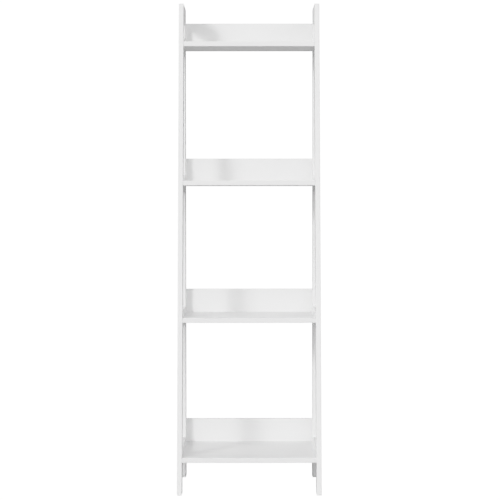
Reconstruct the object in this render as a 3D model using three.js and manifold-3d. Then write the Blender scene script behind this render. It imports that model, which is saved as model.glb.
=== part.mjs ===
// Free-standing ladder shelf: two leaning side frames, four shelves and four back boards.
// Millimetres, +Z up, the open front faces -Y. The origin is on the floor, at the middle of
// the outline. Tiers are built from the floor up. Every board is cut from one thickness.
import * as THREE from 'three';
import { mergeVertices } from 'three/addons/utils/BufferGeometryUtils.js';
import Module from 'manifold-3d';

// Overall sizes
const HEIGHT = 1478;
const WIDTH = 430;
const FOOT_DEPTH = 325;      // front of the front legs to back of the rear legs, at the floor
const HEAD_DEPTH = 148;      // the same at the top
const BOARD = 15;            // thickness of every board
const LEG = 42;              // width of every leg
const RAIL = 50;             // height of every rail

// Tiers: a shelf, the board behind it and a rail at each end
const TIERS = [
  { name: 'bottom', shelfTop: 110 },
  { name: 'lower', shelfTop: 523 },
  { name: 'upper', shelfTop: 935.5 },
  { name: 'top', shelfTop: 1360.5 },
];
const RAIL_RISE = 18.5;      // top of a side rail above its shelf
const BACK_RISE = 72.5;      // top of a back board above its shelf
const BACK_LAP = 7.5;        // how far a back board reaches down behind its shelf

// Fastenings: one connecting screw, driven in from outside, under a flush cap
const SCREW = {
  headRadius: 5,
  headHeight: 2.6,
  neckRadius: 3.4,
  neckEnd: 17,               // distances from the outer face of the side frame
  threadRadius: 2.5,
  coneLength: 4,
  tip: 50,
};
const CAP_RADIUS = 6;
const CAP_DEPTH = 1.2;
const SHELF_SCREW_INSET = 0.25;          // share of a rail's length, from each of its ends
const BACK_SCREW_HEIGHTS = [20, 55];     // above the shelf
const ROUND_STEPS = 12;

const FIT = 0.3;             // gap at slanted joints and around screws
const PAST = 1;              // how far a cutter runs past the face that it opens

const REAR = FOOT_DEPTH / 2;
const INNER_WIDTH = WIDTH - 2 * BOARD;
const LEAN = Math.atan((FOOT_DEPTH - HEAD_DEPTH) / HEIGHT);
const LEANING_LEG = LEG / Math.cos(LEAN);          // front leg's width, measured level
const REAR_LEG_FRONT = REAR - LEG;
const SHELF_BACK = REAR - BOARD;

// Y of the front face of the front legs at a height
const frontLine = (z) => z * Math.tan(LEAN) - FOOT_DEPTH / 2;
const frontLegBack = (z) => frontLine(z) + LEANING_LEG;

const SIDES = [
  { name: 'left', inward: 1 },
  { name: 'right', inward: -1 },
];

const paint = (name) => new THREE.MeshStandardMaterial(
  { name, color: 0xf3f3f2, roughness: 0.42, metalness: 0 });
const framePaint = paint('frame_paint');
const shelfPaint = paint('shelf_paint');
const screwSteel = new THREE.MeshStandardMaterial(
  { name: 'screw_steel', color: 0xa9acb0, roughness: 0.38, metalness: 1 });

const wasm = await Module();
wasm.setup();

function toSolid(geometry) {
  const bare = geometry.clone();
  bare.deleteAttribute('normal');
  bare.deleteAttribute('uv');
  const welded = mergeVertices(bare, 1e-4);
  return new wasm.Manifold(new wasm.Mesh({
    numProp: 3,
    vertProperties: new Float32Array(welded.attributes.position.array),
    triVerts: new Uint32Array(welded.index.array),
  }));
}

function toGeometry(solid) {
  const mesh = solid.getMesh();
  const geometry = new THREE.BufferGeometry();
  geometry.setAttribute('position', new THREE.BufferAttribute(mesh.vertProperties, 3));
  geometry.setIndex(new THREE.BufferAttribute(mesh.triVerts, 1));
  geometry.computeVertexNormals();
  return geometry;
}

// Geometry with some solids cut out of it
function drilled(geometry, cutters) {
  const cut = cutters.reduce((body, cutter) => body.subtract(toSolid(cutter)), toSolid(geometry));
  return toGeometry(cut);
}

// A board whose outline lies in the YZ plane, from X = 0 in the inward direction
function slab(outline, thickness, inward) {
  const shape = new THREE.Shape(outline.map(([y, z]) => new THREE.Vector2(y, z)));
  const geometry = new THREE.ExtrudeGeometry(shape, { depth: thickness, bevelEnabled: false });
  const outlineToSide = new THREE.Matrix4().makeBasis(
    new THREE.Vector3(0, 1, 0), new THREE.Vector3(0, 0, 1), new THREE.Vector3(1, 0, 0));
  geometry.applyMatrix4(outlineToSide);
  return geometry.translate(inward > 0 ? 0 : -thickness, 0, 0);
}

// A turned piece from pairs of radius and distance inward along X
function turned(profile, inward) {
  const points = profile.map(([radius, distance]) => new THREE.Vector2(radius, distance));
  const geometry = new THREE.LatheGeometry(points, ROUND_STEPS);
  const axisInward = new THREE.Matrix4().makeBasis(
    new THREE.Vector3(0, 1, 0), new THREE.Vector3(inward, 0, 0), new THREE.Vector3(0, 0, -inward));
  return geometry.applyMatrix4(axisInward);
}

function screwGeometry(inward) {
  const headEnd = CAP_DEPTH + SCREW.headHeight;
  return turned([
    [0, CAP_DEPTH],
    [SCREW.headRadius, CAP_DEPTH],
    [SCREW.neckRadius, headEnd],
    [SCREW.neckRadius, SCREW.neckEnd],
    [SCREW.threadRadius, SCREW.neckEnd],
    [SCREW.threadRadius, SCREW.tip - SCREW.coneLength],
    [0, SCREW.tip],
  ], inward);
}

// The hole for one screw and its cap, a little larger than both
function screwHole(inward, y, z) {
  const headEnd = CAP_DEPTH + SCREW.headHeight + FIT;
  const threadRadius = SCREW.threadRadius + FIT;
  const hole = turned([
    [0, -PAST],
    [CAP_RADIUS, -PAST],
    [CAP_RADIUS, CAP_DEPTH],
    [SCREW.headRadius + FIT, CAP_DEPTH],
    [SCREW.neckRadius + FIT, headEnd],
    [SCREW.neckRadius + FIT, SCREW.neckEnd + FIT],
    [threadRadius, SCREW.neckEnd + FIT],
    [threadRadius, SCREW.tip + FIT],
    [0, SCREW.tip + FIT],
  ], inward);
  return hole.translate(0, y, z);
}

// Places of the two screws in each end of a shelf, at mid thickness of the shelf
function shelfScrews(tier) {
  const z = tier.shelfTop - BOARD / 2;
  const railFront = frontLegBack(z);
  const railLength = REAR_LEG_FRONT - railFront;
  return [
    { place: 'front', y: railFront + SHELF_SCREW_INSET * railLength, z },
    { place: 'rear', y: REAR_LEG_FRONT - SHELF_SCREW_INSET * railLength, z },
  ];
}

// Places of the two screws in each end of a back board, at mid thickness of the board
function backScrews(tier) {
  const places = ['low', 'high'];
  return BACK_SCREW_HEIGHTS.map((height, i) => (
    { place: places[i], y: REAR - BOARD / 2, z: tier.shelfTop + height }));
}

function namedMesh(name, geometry, material) {
  const mesh = new THREE.Mesh(geometry, material);
  mesh.name = name;
  return mesh;
}

// A rail fills the space between the two legs of one side
function railOutline(bottom, top) {
  return [
    [frontLegBack(bottom) + FIT, bottom],
    [REAR_LEG_FRONT, bottom],
    [REAR_LEG_FRONT, top],
    [frontLegBack(top) + FIT, top],
  ];
}

function frontLeg(side) {
  const outline = [
    [frontLine(0), 0],
    [frontLegBack(0), 0],
    [frontLegBack(HEIGHT), HEIGHT],
    [frontLine(HEIGHT), HEIGHT],
  ];
  return namedMesh(`${side.name}_front_leg`, slab(outline, BOARD, side.inward), framePaint);
}

function rearLeg(side) {
  const outline = [[REAR_LEG_FRONT, 0], [REAR, 0], [REAR, HEIGHT], [REAR_LEG_FRONT, HEIGHT]];
  const holes = TIERS.flatMap(backScrews).map(({ y, z }) => screwHole(side.inward, y, z));
  const geometry = drilled(slab(outline, BOARD, side.inward), holes);
  return namedMesh(`${side.name}_rear_leg`, geometry, framePaint);
}

function headRail(side) {
  const geometry = slab(railOutline(HEIGHT - RAIL, HEIGHT), BOARD, side.inward);
  return namedMesh(`${side.name}_head_rail`, geometry, framePaint);
}

function shelfRail(side, tier) {
  const top = tier.shelfTop + RAIL_RISE;
  const holes = shelfScrews(tier).map(({ y, z }) => screwHole(side.inward, y, z));
  const geometry = drilled(slab(railOutline(top - RAIL, top), BOARD, side.inward), holes);
  return namedMesh(`${side.name}_${tier.name}_rail`, geometry, framePaint);
}

function screw(name, side, { y, z }) {
  const mesh = namedMesh(name, screwGeometry(side.inward), screwSteel);
  mesh.position.set(0, y, z);
  return mesh;
}

// One side frame with its screws. X = 0 is its outer face.
function sideFrame(side) {
  const group = new THREE.Group();
  group.add(frontLeg(side), rearLeg(side), headRail(side));
  for (const tier of TIERS) {
    group.add(shelfRail(side, tier));
    for (const spot of shelfScrews(tier)) {
      group.add(screw(`${side.name}_${tier.name}_shelf_screw_${spot.place}`, side, spot));
    }
    for (const spot of backScrews(tier)) {
      group.add(screw(`${side.name}_${tier.name}_back_screw_${spot.place}`, side, spot));
    }
  }
  group.position.x = -side.inward * WIDTH / 2;
  return group;
}

// A board between the side frames, drilled from both ends. Its box is given by its lowest
// corner and its size, and X = 0 is the middle of the shelf unit.
function crossBoard(name, lowY, lowZ, depth, height, spots) {
  const outline = [
    [lowY, lowZ],
    [lowY + depth, lowZ],
    [lowY + depth, lowZ + height],
    [lowY, lowZ + height],
  ];
  const blank = slab(outline, INNER_WIDTH, 1).translate(-INNER_WIDTH / 2, 0, 0);
  const holes = SIDES.flatMap(({ inward }) => spots.map(
    ({ y, z }) => screwHole(inward, y, z).translate(-inward * WIDTH / 2, 0, 0)));
  return namedMesh(name, drilled(blank, holes), shelfPaint);
}

// A tier's shelf comes forward to the front line of the legs, and its back board stands
// behind it, level with the back of the rear legs
function tierBoards(tier) {
  const group = new THREE.Group();
  const shelfFront = frontLine(tier.shelfTop);
  const shelfDepth = SHELF_BACK - shelfFront;
  group.add(crossBoard(`${tier.name}_shelf`, shelfFront, tier.shelfTop - BOARD,
    shelfDepth, BOARD, shelfScrews(tier)));
  group.add(crossBoard(`${tier.name}_back_board`, SHELF_BACK, tier.shelfTop - BACK_LAP,
    BOARD, BACK_LAP + BACK_RISE, backScrews(tier)));
  return group;
}

const ladderShelf = new THREE.Group();
ladderShelf.name = 'ladder_shelf';
SIDES.forEach((side) => ladderShelf.add(sideFrame(side)));
TIERS.forEach((tier) => ladderShelf.add(tierBoards(tier)));

export default ladderShelf;
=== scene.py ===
"""Ladder shelf in white painted board: the looks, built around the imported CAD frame.

Everything is in metres in the frame's own axes: +Z up, the open front faces -Y.
"""
import math

import bmesh
import bpy
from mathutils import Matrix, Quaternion, Vector


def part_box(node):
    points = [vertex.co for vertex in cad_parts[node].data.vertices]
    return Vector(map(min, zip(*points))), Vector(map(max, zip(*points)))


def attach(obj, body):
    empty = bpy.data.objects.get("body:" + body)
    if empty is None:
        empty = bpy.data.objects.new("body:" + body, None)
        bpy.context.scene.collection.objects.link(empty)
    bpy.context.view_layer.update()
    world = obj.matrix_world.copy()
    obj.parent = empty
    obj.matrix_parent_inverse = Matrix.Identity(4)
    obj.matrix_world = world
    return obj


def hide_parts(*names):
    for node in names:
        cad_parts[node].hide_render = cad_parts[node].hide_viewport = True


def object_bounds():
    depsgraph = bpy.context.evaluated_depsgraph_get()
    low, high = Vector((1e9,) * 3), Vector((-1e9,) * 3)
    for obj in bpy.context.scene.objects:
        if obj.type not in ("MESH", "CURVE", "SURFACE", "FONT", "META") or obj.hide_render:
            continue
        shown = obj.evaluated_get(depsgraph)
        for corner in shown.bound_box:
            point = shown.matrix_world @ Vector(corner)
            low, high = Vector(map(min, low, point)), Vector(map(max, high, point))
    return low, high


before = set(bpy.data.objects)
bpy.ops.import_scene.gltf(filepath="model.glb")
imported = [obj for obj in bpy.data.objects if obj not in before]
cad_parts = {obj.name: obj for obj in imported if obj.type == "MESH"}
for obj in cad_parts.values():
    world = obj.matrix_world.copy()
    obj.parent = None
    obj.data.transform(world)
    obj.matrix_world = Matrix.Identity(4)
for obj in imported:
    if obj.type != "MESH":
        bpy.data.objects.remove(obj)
cad_low, cad_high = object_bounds()

SIDES = {"left": 1, "right": -1}          # name of a side frame and which way is inward
TIERS = ("bottom", "lower", "upper", "top")

MM = 0.001
TINY = 1e-6                  # two places closer than this are the same
STOCK_ROUND = 2.0 * MM       # rounded edges of legs and rails
SHELF_ROUND = 1.2 * MM       # rounded edges of shelves and back boards
ROUND_STEPS = 4
SHARP_ANGLE = 40             # degrees: a crease sharper than this isn't smoothed over
FLAT_FACE_WEIGHT = 100       # 50 is neutral, and more lets large faces lead the shading

CAP_RADIUS = 6.0 * MM
CAP_DEPTH = 1.2 * MM         # from the face to the head of the screw
CAP_PLAY = 0.12 * MM         # gap round a cap
CAP_SUNK = 0.12 * MM         # how far a cap lies below the face
CAP_LIFT = 0.05 * MM         # gap between a cap and its screw
CAP_RIM = 0.35 * MM          # rounding of a cap's rim
CAP_CROWN = 0.06 * MM        # how far a cap's middle stands out past its rim
CROWN_STEPS = (0.3, 0.6, 0.85)           # shares of a cap's radius
MOUTH_CHAMFER = 0.3 * MM
CUT_PAST = 1.0 * MM          # how far a cutter starts outside the face
SCREW_PLAY = 0.3 * MM        # gap round a screw
HEAD_HEIGHT = 3.0 * MM       # of a screw's countersunk head, with its play
SHANK_SHARE = 0.7            # a screw's neck against its head, both with their play
TURN_STEPS = 32

PAINT_WHITE = (0.875, 0.875, 0.875)
PAINT_DARKEST = 0.975        # the darkest mottle against the lightest
PAINT_FINE_MOTTLE = 0.35     # fine mottle against broad mottle
PAINT_MOTTLE_START = 0.15    # mottle below this leaves the paint at its darkest
PAINT_CLOUD = 0.05           # how far the roughness wanders to either side
PAINT_PEEL = 0.004 * MM      # height of the orange peel
PAINT_SAG = 0.015 * MM       # height of the slow waves
PAINT_FIBRE = 0.006 * MM     # height of the raised fibre on cut edges
FRAME_ROUGHNESS = 0.40       # wide faces of legs and rails
BOARD_ROUGHNESS = 0.38       # wide faces of shelves and back boards
EDGE_ROUGHNESS = 0.52        # cut edges of them all
GLOSS_IOR = 1.5              # of the paint and of the caps' plastic

CAP_COLOURS = ((0.80, 0.80, 0.79), (0.84, 0.84, 0.83))
CAP_ROUGHNESS = (0.46, 0.58)
CAP_GRAIN = 0.012 * MM       # height of the grain
STEEL_COLOURS = ((0.50, 0.51, 0.53), (0.66, 0.67, 0.69))
STEEL_ROUGHNESS = (0.25, 0.45)
STEEL_BRUSHING = (2400.0, 160.0, 160.0)  # marks per metre along each axis

SENSOR = 36.0                # millimetres
LENS = 103.2                 # millimetres
LENS_SHIFT = -0.0134         # share of the picture's width
CAMERA_DISTANCE = 4.552      # in front of the back of the rear legs
CAMERA_HEIGHT = 0.871        # above the floor
CAMERA_RIGHT = 0.0025        # of the middle of the shelf unit
CAMERA_PITCH = 0.0289        # radians below level
CAMERA_ROLL = -0.0005        # radians
CAMERA_CLIP = (0.1, 200.0)   # nearest and farthest that it sees

FLOOR_HALF = 60.0            # half the floor's side
FLOOR_WHITE = 0.58           # share of the light that the floor throws back
BACKDROP = 1.3               # bright enough to print as pure white
SOFTBOXES = (                # bearing, height, sharpness, strength
    (90, 12, 6, 1.0),
    (-90, 12, 6, 0.3),
    (45, 12, 6, 1.0),
    (-45, 12, 6, 1.75),
    (0, 45, 6, 0.85),
    (180, 45, 6, 1.4),
)
KEY_LIGHT = (39.5, 22.5, 12, 0.88)       # bearing, height, spread, strength

# brightness in the scene, and what it prints as
HIGHLIGHT_CURVE = ((0.7, 0.7), (0.8, 0.79), (0.9, 0.85), (1.05, 0.925), (1.25, 1.0))
ALL_COLOURS = 3              # place of the combined curve among the view's curves


# ---------------------------------------------------------------- materials

class Nodes:
    """Short calls for building one node tree."""

    def __init__(self, tree):
        self.tree = tree
        self.tree.nodes.clear()

    def add(self, kind, **settings):
        node = self.tree.nodes.new(kind)
        for name, value in settings.items():
            if hasattr(node, name):
                setattr(node, name, value)
            else:
                node.inputs[name.replace("_", " ")].default_value = value
        return node

    def link(self, source, target):
        self.tree.links.new(source, target)

    def math(self, operation, first, second=None, clamp=False):
        node = self.add("ShaderNodeMath", operation=operation, use_clamp=clamp)
        for socket, value in zip(node.inputs, (first, second)):
            if value is None:
                continue
            if isinstance(value, (int, float)):
                socket.default_value = value
            else:
                self.link(value, socket)
        return node.outputs[0]

    def noise(self, coordinates, scale, detail=2.0, roughness=0.5):
        node = self.add("ShaderNodeTexNoise", Scale=scale, Detail=detail, Roughness=roughness)
        self.link(coordinates, node.inputs["Vector"])
        return node.outputs["Fac"]

    def blend(self, share, first, second):
        """A colour from the first to the second, by a share from 0 to 1."""
        node = self.add("ShaderNodeMix", data_type="RGBA")
        node.inputs["A"].default_value = (*first, 1.0)
        node.inputs["B"].default_value = (*second, 1.0)
        self.link(share, node.inputs["Factor"])
        return node.outputs["Result"]

    def relief(self, height, shader):
        """Bump for a shader from a height in metres."""
        bump = self.add("ShaderNodeBump", Strength=1.0, Distance=1.0)
        self.link(height, bump.inputs["Height"])
        self.link(bump.outputs["Normal"], shader.inputs["Normal"])

    def remap(self, value, low, high):
        node = self.add("ShaderNodeMapRange")
        node.inputs["To Min"].default_value = low
        node.inputs["To Max"].default_value = high
        self.link(value, node.inputs["Value"])
        return node.outputs["Result"]


def new_material(name):
    material = bpy.data.materials.new(name)
    material.use_nodes = True
    nodes = Nodes(material.node_tree)
    shader = nodes.add("ShaderNodeBsdfPrincipled")
    output = nodes.add("ShaderNodeOutputMaterial")
    nodes.link(shader.outputs["BSDF"], output.inputs["Surface"])
    return material, nodes, shader


def painted_board(name, face_axis, face_roughness):
    """Sprayed satin paint on fibreboard. face_axis is the axis across the board: its wide
    faces are smoother than its cut edges, where the fibre shows through the paint."""
    material, nodes, shader = new_material(name)
    place = nodes.add("ShaderNodeTexCoord").outputs["Object"]
    normal = nodes.add("ShaderNodeSeparateXYZ")
    nodes.link(nodes.add("ShaderNodeNewGeometry").outputs["True Normal"], normal.inputs[0])
    facing = nodes.math("ABSOLUTE", normal.outputs[face_axis])
    edge = nodes.math("SUBTRACT", 1.0, facing, clamp=True)

    # faint unevenness of the paint's white
    broad = nodes.noise(place, scale=9.0, detail=3.0)
    fine = nodes.math("MULTIPLY", nodes.noise(place, scale=140.0), PAINT_FINE_MOTTLE)
    mottle = nodes.math("ADD", broad, fine)
    share = nodes.math("SUBTRACT", mottle, PAINT_MOTTLE_START, clamp=True)
    darkest = [part * PAINT_DARKEST for part in PAINT_WHITE]
    nodes.link(nodes.blend(share, darkest, PAINT_WHITE), shader.inputs["Base Color"])

    # roughness: cloudy on the faces, higher on the edges
    cloud = nodes.remap(nodes.noise(place, scale=30.0, detail=4.0), -PAINT_CLOUD, PAINT_CLOUD)
    base = nodes.remap(edge, face_roughness, EDGE_ROUGHNESS)
    nodes.link(nodes.math("ADD", base, cloud), shader.inputs["Roughness"])

    # relief: orange peel and slow waves everywhere, and fibre on the edges
    peel = nodes.math("MULTIPLY", nodes.noise(place, scale=420.0, detail=1.5), PAINT_PEEL)
    sag = nodes.math("MULTIPLY", nodes.noise(place, scale=38.0, detail=1.0), PAINT_SAG)
    fuzz = nodes.noise(place, scale=1500.0, detail=3.0, roughness=0.65)
    fibre = nodes.math("MULTIPLY", nodes.math("MULTIPLY", fuzz, PAINT_FIBRE), edge)
    nodes.relief(nodes.math("ADD", nodes.math("ADD", peel, sag), fibre), shader)
    shader.inputs["IOR"].default_value = GLOSS_IOR
    return material


def cap_plastic():
    """Moulded white polythene with a fine spark-eroded grain."""
    material, nodes, shader = new_material("cap_plastic")
    place = nodes.add("ShaderNodeTexCoord").outputs["Object"]
    tone = nodes.blend(nodes.noise(place, scale=300.0), *CAP_COLOURS)
    nodes.link(tone, shader.inputs["Base Color"])
    polish = nodes.remap(nodes.noise(place, scale=900.0), *CAP_ROUGHNESS)
    nodes.link(polish, shader.inputs["Roughness"])
    nodes.relief(nodes.math("MULTIPLY", nodes.noise(place, scale=2600.0), CAP_GRAIN), shader)
    shader.inputs["IOR"].default_value = GLOSS_IOR
    return material


def screw_steel():
    """Zinc-plated steel, brushed round by turning."""
    material, nodes, shader = new_material("screw_steel")
    place = nodes.add("ShaderNodeTexCoord").outputs["Object"]
    stretch = nodes.add("ShaderNodeMapping")
    stretch.inputs["Scale"].default_value = STEEL_BRUSHING
    nodes.link(place, stretch.inputs["Vector"])
    brushed = nodes.noise(stretch.outputs["Vector"], scale=1.0, detail=3.0)
    nodes.link(nodes.blend(brushed, *STEEL_COLOURS), shader.inputs["Base Color"])
    nodes.link(nodes.remap(brushed, *STEEL_ROUGHNESS), shader.inputs["Roughness"])
    shader.inputs["Metallic"].default_value = 1.0
    return material


# ---------------------------------------------------------------- meshes

def mesh_object(name, mesh, material):
    piece = bpy.data.objects.new(name, mesh)
    bpy.context.scene.collection.objects.link(piece)
    mesh.materials.clear()
    mesh.materials.append(material)
    return piece


def prism(outline, x_low, x_high):
    """A board as a bmesh: its outline is a list of (y, z), and it runs along X."""
    shape = bmesh.new()
    ends = [[shape.verts.new((x, y, z)) for y, z in outline] for x in (x_low, x_high)]
    shape.faces.new(ends[0])
    shape.faces.new(ends[1])
    for i in range(len(outline)):
        j = (i + 1) % len(outline)
        shape.faces.new((ends[0][i], ends[0][j], ends[1][j], ends[1][i]))
    bmesh.ops.recalc_face_normals(shape, faces=shape.faces)
    return shape


def round_edges(shape, radius, chosen):
    edges = [edge for edge in shape.edges if chosen(edge)]
    bmesh.ops.bevel(shape, geom=edges, offset=radius, offset_type="OFFSET", segments=ROUND_STEPS,
                    profile=0.5, affect="EDGES", clamp_overlap=True)


def turned(profile, inward):
    """A closed bmesh turned about the X axis, from (radius, distance inward) pairs that start
    and end on the axis."""
    shape = bmesh.new()
    rings = []
    for radius, distance in profile:
        x = inward * distance
        if radius == 0:
            rings.append([shape.verts.new((x, 0, 0))])
            continue
        angles = [2 * math.pi * i / TURN_STEPS for i in range(TURN_STEPS)]
        rings.append([shape.verts.new((x, radius * math.cos(a), radius * math.sin(a)))
                      for a in angles])
    for near, far in zip(rings, rings[1:]):
        for i in range(TURN_STEPS):
            j = (i + 1) % TURN_STEPS
            corners = [near[i % len(near)], near[j % len(near)], far[j % len(far)], far[i % len(far)]]
            shape.faces.new(list(dict.fromkeys(corners)))
    bmesh.ops.recalc_face_normals(shape, faces=shape.faces)
    return shape


def to_mesh(shape, name):
    mesh = bpy.data.meshes.new(name)
    shape.to_mesh(mesh)
    shape.free()
    return mesh


def drill(mesh, holes):
    """The mesh with these cutter meshes taken out of it."""
    if not holes:
        return mesh
    cutters = bmesh.new()
    for hole in holes:
        cutters.from_mesh(hole)
        bpy.data.meshes.remove(hole)
    blank = bpy.data.objects.new("blank", mesh)
    drill_bit = bpy.data.objects.new("drill_bit", to_mesh(cutters, "drill_bit"))
    for helper in (blank, drill_bit):
        bpy.context.scene.collection.objects.link(helper)
    cut = blank.modifiers.new("holes", "BOOLEAN")
    cut.operation = "DIFFERENCE"
    cut.solver = "EXACT"
    cut.object = drill_bit
    graph = bpy.context.evaluated_depsgraph_get()
    drilled = bpy.data.meshes.new_from_object(blank.evaluated_get(graph))
    for helper in (blank, drill_bit):
        spare = helper.data
        bpy.data.objects.remove(helper)
        bpy.data.meshes.remove(spare)
    return drilled


def shade(mesh):
    """Smooth over the rounded edges, with sharp lines only at true corners."""
    for face in mesh.polygons:
        face.use_smooth = True
    mesh.set_sharp_from_angle(angle=math.radians(SHARP_ANGLE))


def finish_piece(piece, node):
    shade(piece.data)
    weighted = piece.modifiers.new("flat_faces", "WEIGHTED_NORMAL")
    weighted.keep_sharp = True
    weighted.weight = FLAT_FACE_WEIGHT
    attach(piece, "root")
    if node:
        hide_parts(node)


# ---------------------------------------------------------------- holes and caps

def screw_names(tier, side):
    shelf = [f"{side}_{tier}_shelf_screw_{place}" for place in ("front", "rear")]
    back = [f"{side}_{tier}_back_screw_{place}" for place in ("low", "high")]
    return shelf, back


def outer_face(side):
    return cad_low.x if SIDES[side] > 0 else cad_high.x


def screw_hole(name, side):
    """Cutter for one screw and its cap, with a chamfered mouth."""
    low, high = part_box(name)
    centre = (low + high) / 2
    head = (high.y - low.y) / 2 + SCREW_PLAY
    shank = head * SHANK_SHARE
    depth = high.x - low.x + CAP_DEPTH + SCREW_PLAY
    hole = turned([
        (0, -CUT_PAST),
        (CAP_RADIUS + CUT_PAST + MOUTH_CHAMFER, -CUT_PAST),
        (CAP_RADIUS, MOUTH_CHAMFER),
        (CAP_RADIUS, CAP_DEPTH),
        (head, CAP_DEPTH),
        (shank, CAP_DEPTH + HEAD_HEIGHT),
        (shank, depth),
        (0, depth),
    ], SIDES[side])
    bmesh.ops.translate(hole, verts=hole.verts, vec=(outer_face(side), centre.y, centre.z))
    return to_mesh(hole, "hole")


def cap(screw, side, material):
    """A flush cover cap: a slightly crowned disc with a rounded rim."""
    low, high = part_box(screw)
    centre = (low + high) / 2
    radius = CAP_RADIUS - CAP_PLAY
    bottom = CAP_DEPTH - CAP_LIFT
    profile = [(0, CAP_SUNK)]
    profile += [(radius * share, CAP_SUNK + CAP_CROWN * share ** 2) for share in CROWN_STEPS]
    for i in range(ROUND_STEPS + 1):
        angle = math.pi / 2 * i / ROUND_STEPS
        profile.append((radius - CAP_RIM + CAP_RIM * math.sin(angle),
                        CAP_SUNK + CAP_CROWN + CAP_RIM * (1 - math.cos(angle))))
    profile += [(radius, bottom), (0, bottom)]
    shape = turned(profile, SIDES[side])
    bmesh.ops.translate(shape, verts=shape.verts, vec=(outer_face(side), centre.y, centre.z))
    piece = mesh_object(screw.replace("screw", "cap"), to_mesh(shape, screw + "_cap"), material)
    finish_piece(piece, None)


# ---------------------------------------------------------------- boards

def front_leg_lean(side):
    """Slope of a front leg, in metres of Y for each metre of Z. The leg is as wide as a rear
    leg, and its box's depth holds both the slant and that width."""
    low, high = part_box(f"{side}_front_leg")
    rear_low, rear_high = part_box(f"{side}_rear_leg")
    width = rear_high.y - rear_low.y
    span, rise = high.y - low.y, high.z - low.z
    angle = math.acos(width / math.hypot(span, rise)) - math.atan2(rise, span)
    return math.tan(angle)


def square_to_x(edge):
    """True for an edge that lies on a wide face of a leg or rail, or on an end of a shelf or
    back board."""
    return abs(edge.verts[0].co.x - edge.verts[1].co.x) < TINY


def stock_board(name, outline, side, material, holes, rounded):
    low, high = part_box(name)
    shape = prism(outline, low.x, high.x)
    round_edges(shape, STOCK_ROUND, rounded)
    mesh = drill(to_mesh(shape, name), [screw_hole(screw, side) for screw in holes])
    piece = mesh_object(name + "_board", mesh, material)
    finish_piece(piece, name)


def front_leg(side, material):
    name = f"{side}_front_leg"
    low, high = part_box(name)
    run = front_leg_lean(side) * (high.z - low.z)
    outline = [(low.y, low.z), (high.y - run, low.z), (high.y, high.z), (low.y + run, high.z)]
    stock_board(name, outline, side, material, [], lambda edge: True)


def rear_leg(side, material):
    name = f"{side}_rear_leg"
    low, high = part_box(name)
    outline = [(low.y, low.z), (high.y, low.z), (high.y, high.z), (low.y, high.z)]
    holes = [screw for tier in TIERS for screw in screw_names(tier, side)[1]]
    stock_board(name, outline, side, material, holes, lambda edge: True)


def rail(name, side, material, holes):
    """A rail keeps square ends, where it is glued to the legs."""
    low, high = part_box(name)
    run = front_leg_lean(side) * (high.z - low.z)
    outline = [(low.y, low.z), (high.y, low.z), (high.y, high.z), (low.y + run, high.z)]

    def long_edge(edge):
        flat = abs(edge.verts[0].co.z - edge.verts[1].co.z) < TINY
        return square_to_x(edge) and flat

    stock_board(name, outline, side, material, holes, long_edge)


def cross_board(name, material, holes, rounded):
    """A shelf or back board, square at its two ends."""
    low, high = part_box(name)
    outline = [(low.y, low.z), (high.y, low.z), (high.y, high.z), (low.y, high.z)]
    shape = prism(outline, low.x, high.x)
    round_edges(shape, SHELF_ROUND, rounded)
    cutters = [screw_hole(screw, screw.split("_")[0]) for screw in holes]
    piece = mesh_object(name + "_panel", drill(to_mesh(shape, name), cutters), material)
    finish_piece(piece, name)


def shelf(tier, material):
    name = f"{tier}_shelf"
    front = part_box(name)[0].y
    holes = [screw for side in SIDES for screw in screw_names(tier, side)[0]]
    cross_board(name, material, holes, lambda edge: not square_to_x(edge)
                and abs(edge.verts[0].co.y - front) < TINY)


def back_board(tier, material):
    name = f"{tier}_back_board"
    holes = [screw for side in SIDES for screw in screw_names(tier, side)[1]]
    cross_board(name, material, holes, lambda edge: not square_to_x(edge))


# ---------------------------------------------------------------- stage

def make_camera():
    data = bpy.data.cameras.new("camera")
    data.sensor_width = SENSOR
    data.lens = LENS
    data.shift_y = LENS_SHIFT
    data.clip_start, data.clip_end = CAMERA_CLIP
    camera = bpy.data.objects.new("camera", data)
    bpy.context.scene.collection.objects.link(camera)
    camera.location = (CAMERA_RIGHT, cad_high.y - CAMERA_DISTANCE, CAMERA_HEIGHT)
    camera.rotation_mode = "QUATERNION"
    level = Quaternion((1, 0, 0), math.pi / 2 - CAMERA_PITCH)
    camera.rotation_quaternion = level @ Quaternion((0, 0, 1), CAMERA_ROLL)
    bpy.context.scene.camera = camera


def toward(bearing, height):
    """Unit vector toward a light: its bearing is measured leftward from straight in front of
    the shelf unit, and its height from the floor, both in degrees."""
    turn, rise = math.radians(bearing), math.radians(height)
    return Vector((-math.sin(turn) * math.cos(rise), -math.cos(turn) * math.cos(rise), math.sin(rise)))


def make_floor():
    """A plain white studio floor: it throws light back up at the shelf unit, and the camera
    sees it evenly lit."""
    shape = bmesh.new()
    corners = [(-1, -1), (1, -1), (1, 1), (-1, 1)]
    shape.faces.new([shape.verts.new((x * FLOOR_HALF, y * FLOOR_HALF, cad_low.z)) for x, y in corners])
    material = bpy.data.materials.new("studio_floor")
    material.use_nodes = True
    nodes = Nodes(material.node_tree)
    paint = nodes.add("ShaderNodeBsdfDiffuse", Color=(FLOOR_WHITE, FLOOR_WHITE, FLOOR_WHITE, 1))
    seen = nodes.add("ShaderNodeEmission", Color=(1, 1, 1, 1), Strength=BACKDROP)
    chosen = nodes.add("ShaderNodeMixShader")
    nodes.link(nodes.add("ShaderNodeLightPath").outputs["Is Camera Ray"], chosen.inputs[0])
    nodes.link(paint.outputs[0], chosen.inputs[1])
    nodes.link(seen.outputs[0], chosen.inputs[2])
    output = nodes.add("ShaderNodeOutputMaterial")
    nodes.link(chosen.outputs[0], output.inputs["Surface"])
    mesh_object("floor", to_mesh(shape, "floor"), material)


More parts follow.
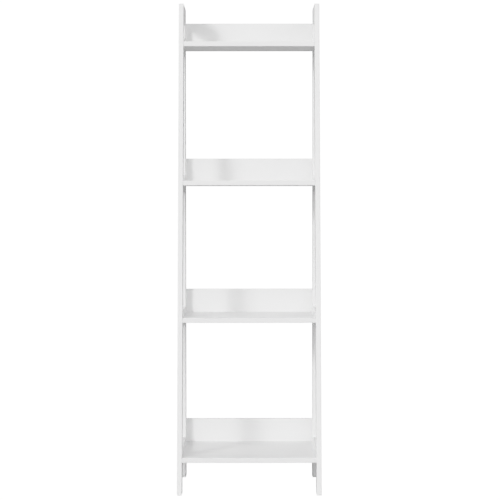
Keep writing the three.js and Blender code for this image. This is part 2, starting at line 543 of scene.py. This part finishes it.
def make_world(softboxes):
    """White behind the shelf unit, and soft light from round softboxes without edges. Each is
    (bearing, height, sharpness, strength)."""
    world = bpy.data.worlds.new("studio")
    bpy.context.scene.world = world
    world.use_nodes = True
    nodes = Nodes(world.node_tree)
    direction = nodes.add("ShaderNodeTexCoord").outputs["Generated"]
    level = 0.0
    for bearing, height, sharpness, strength in softboxes:
        nearness = nodes.add("ShaderNodeVectorMath", operation="DOT_PRODUCT")
        nodes.link(direction, nearness.inputs[0])
        nearness.inputs[1].default_value = toward(bearing, height)
        facing = nodes.math("MAXIMUM", nearness.outputs["Value"], 0.0)
        glow = nodes.math("MULTIPLY", nodes.math("POWER", facing, sharpness), strength)
        level = nodes.math("ADD", glow, level)
    light = nodes.add("ShaderNodeBackground", Color=(1, 1, 1, 1))
    nodes.link(level, light.inputs["Strength"])
    backdrop = nodes.add("ShaderNodeBackground", Color=(1, 1, 1, 1), Strength=BACKDROP)
    chosen = nodes.add("ShaderNodeMixShader")
    nodes.link(nodes.add("ShaderNodeLightPath").outputs["Is Camera Ray"], chosen.inputs[0])
    nodes.link(light.outputs[0], chosen.inputs[1])
    nodes.link(backdrop.outputs[0], chosen.inputs[2])
    output = nodes.add("ShaderNodeOutputWorld")
    nodes.link(chosen.outputs[0], output.inputs["Surface"])


def make_sun(name, bearing, height, spread, strength):
    data = bpy.data.lights.new(name, "SUN")
    data.energy = strength
    data.angle = math.radians(spread)
    sun = bpy.data.objects.new(name, data)
    bpy.context.scene.collection.objects.link(sun)
    sun.rotation_mode = "QUATERNION"
    sun.rotation_quaternion = (-toward(bearing, height)).to_track_quat("-Z", "Y")


def set_highlight_curve():
    """A soft shoulder on the brightest whites, as photographic film has. It works on all the
    colours together."""
    view = bpy.context.scene.view_settings
    view.view_transform = "Standard"
    view.use_curve_mapping = True
    view.curve_mapping.use_clip = False
    curve = view.curve_mapping.curves[ALL_COLOURS]
    curve.points[-1].location = HIGHLIGHT_CURVE[-1]
    for point in HIGHLIGHT_CURVE[:-1]:
        curve.points.new(*point)
    for point in curve.points:
        point.handle_type = "VECTOR"
    view.curve_mapping.update()


def make_stage():
    make_camera()
    make_floor()
    make_world(SOFTBOXES)
    make_sun("key", *KEY_LIGHT)
    set_highlight_curve()


def make_shelf_unit():
    frame_paint = painted_board("frame_paint", "X", FRAME_ROUGHNESS)
    shelf_paint = painted_board("shelf_paint", "Z", BOARD_ROUGHNESS)
    back_paint = painted_board("back_board_paint", "Y", BOARD_ROUGHNESS)
    plastic = cap_plastic()
    steel = screw_steel()
    for side in SIDES:
        front_leg(side, frame_paint)
        rear_leg(side, frame_paint)
        rail(f"{side}_head_rail", side, frame_paint, [])
        for tier in TIERS:
            shelf_screws, back_screws = screw_names(tier, side)
            rail(f"{side}_{tier}_rail", side, frame_paint, shelf_screws)
            for screw in shelf_screws + back_screws:
                cap(screw, side, plastic)
                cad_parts[screw].data.materials.clear()
                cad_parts[screw].data.materials.append(steel)
    for tier in TIERS:
        shelf(tier, shelf_paint)
        back_board(tier, back_paint)


make_stage()
make_shelf_unit()
